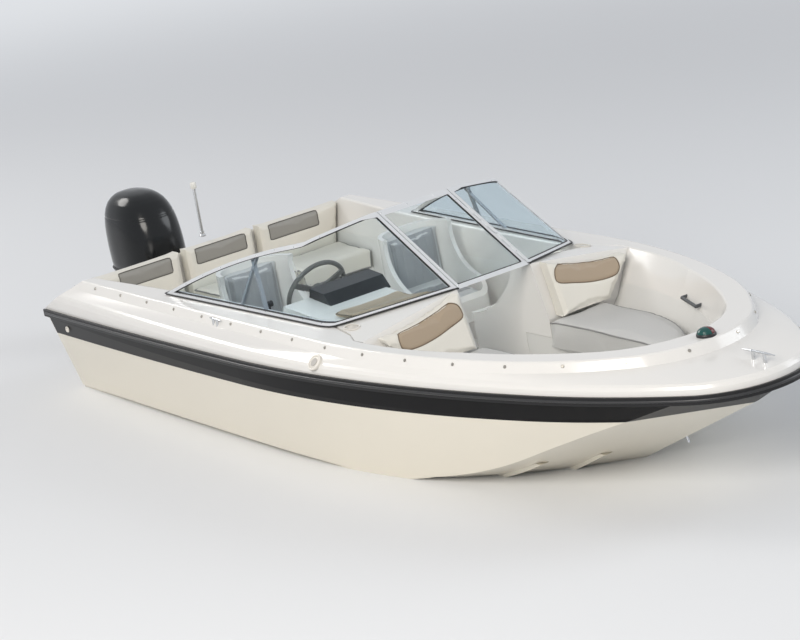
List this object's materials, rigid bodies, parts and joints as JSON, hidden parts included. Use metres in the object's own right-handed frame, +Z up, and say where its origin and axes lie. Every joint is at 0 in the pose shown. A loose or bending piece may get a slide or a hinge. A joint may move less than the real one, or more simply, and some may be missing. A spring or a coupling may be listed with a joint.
{
  "type": "open-bow runabout speedboat with an outboard motor",
  "caption": "Open-bow runabout: V-bottom hull, deck with walk-through windshield, bow and cockpit seats, helm and a tilting, steering outboard motor.",
  "frame": {"origin": "on the centreline at the resting waterline, below the after edge of the rail", "axes": "+X to the bow, +Y to port, +Z up"},
  "size_m": [6.0994, 2.2, 1.855],
  "materials": {
    "hull_gelcoat": "glossy cream gelcoat with a black stripe below the rail",
    "white_gelcoat": "glossy white gelcoat",
    "black_rubber": "satin black",
    "tan_vinyl": "fine grained vinyl",
    "black_plastic": "satin black",
    "window_glass": "clear tempered glass",
    "bright_aluminium": "bright anodised",
    "satin_aluminium": "satin",
    "grey_vinyl": "fine grained vinyl",
    "white_vinyl": "fine grained vinyl",
    "motor_black": "gloss black",
    "engine_metal": "cast",
    "stainless_steel": "polished",
    "white_plastic": "moulded"
  },
  "bodies": {
    "boat": {"hull": "hull_gelcoat", "deck": "white_gelcoat", "cockpit_liner": "white_gelcoat", "bow_liner": "white_gelcoat", "console_port": "white_gelcoat", "console_starboard": "white_gelcoat", "bench_base": "white_gelcoat", "rub_rail": "black_rubber", "dash_pad": "tan_vinyl", "instrument_panel": "black_plastic", "throttle_control": "black_plastic", "steering_column": "black_plastic", "bow_light": "black_plastic", "windshield_glass_port": "window_glass", "windshield_glass_starboard": "window_glass", "windshield_frame_port": "bright_aluminium", "windshield_frame_starboard": "bright_aluminium", "windshield_braces": "bright_aluminium", "bow_cushion_port": "grey_vinyl", "bow_cushion_starboard": "grey_vinyl", "bench_cushion_port": "grey_vinyl", "bench_cushion_middle": "grey_vinyl", "bench_cushion_starboard": "grey_vinyl", "bow_backrest_port": "white_vinyl", "bow_backrest_starboard": "white_vinyl", "bench_backrest_port": "white_vinyl", "bench_backrest_middle": "white_vinyl", "bench_backrest_starboard": "white_vinyl", "seat_pedestal_port": "satin_aluminium", "seat_pedestal_starboard": "satin_aluminium", "transom_bracket": "motor_black", "stern_light": "stainless_steel", "cleats": "stainless_steel", "tow_eyes": "stainless_steel", "grab_handles": "stainless_steel", "fuel_cap": "white_plastic", "drain_fitting": "white_plastic", "drink_holders": "white_plastic"},
    "gate": {"gate_frame": "bright_aluminium", "gate_glass": "window_glass"},
    "helm_wheel": {"steering_wheel": "black_plastic"},
    "tilt_bracket": {"swivel_bracket": "motor_black"},
    "motor": {"cowl_upper": "motor_black", "cowl_lower": "motor_black", "engine_block": "engine_metal", "midsection": "motor_black", "gearcase": "motor_black"},
    "screw": {"propeller": "motor_black"},
    "seat_port": {"seat_shell_port": "white_gelcoat", "seat_cushion_port": "grey_vinyl"},
    "seat_starboard": {"seat_shell_starboard": "white_gelcoat", "seat_cushion_starboard": "grey_vinyl"}
  },
  "joints": [
    {"name": "outboard_tilt", "type": "hinge", "parent": "boat", "child": "tilt_bracket", "pos_m": [-0.1, 0, 0.34], "axis": [0, 1, 0], "range_deg": [0, 65]},
    {"name": "outboard_steer", "type": "hinge", "parent": "tilt_bracket", "child": "motor", "pos_m": [-0.175, 0, 0.1], "axis": [0, 0, 1], "range_deg": [-30, 30]},
    {"name": "propeller_spin", "type": "hinge", "parent": "motor", "child": "screw", "pos_m": [-0.69, 0, -0.52], "axis": [1, 0, 0], "continuous": true},
    {"name": "steering_wheel_turn", "type": "hinge", "parent": "boat", "child": "helm_wheel", "pos_m": [2.1, -0.4, 0.7], "axis": [-0.891, 0, 0.454], "range_deg": [-675, 675]},
    {"name": "gate_swing", "type": "hinge", "parent": "boat", "child": "gate", "pos_m": [2.94399, 0.225, 0.93324], "axis": [-0.8812, 0, 0.4727], "range_deg": [0, 165]},
    {"name": "seat_swivel_port", "type": "hinge", "parent": "boat", "child": "seat_port", "pos_m": [1.96, 0.43, 0.26], "axis": [0, 0, 1], "continuous": true},
    {"name": "seat_swivel_starboard", "type": "hinge", "parent": "boat", "child": "seat_starboard", "pos_m": [1.62, -0.43, 0.26], "axis": [0, 0, 1], "continuous": true}
  ],
  "couplings": [
    {"joint": "steering_wheel_turn", "follows": "outboard_steer", "ratio": -22.5}
  ]
}
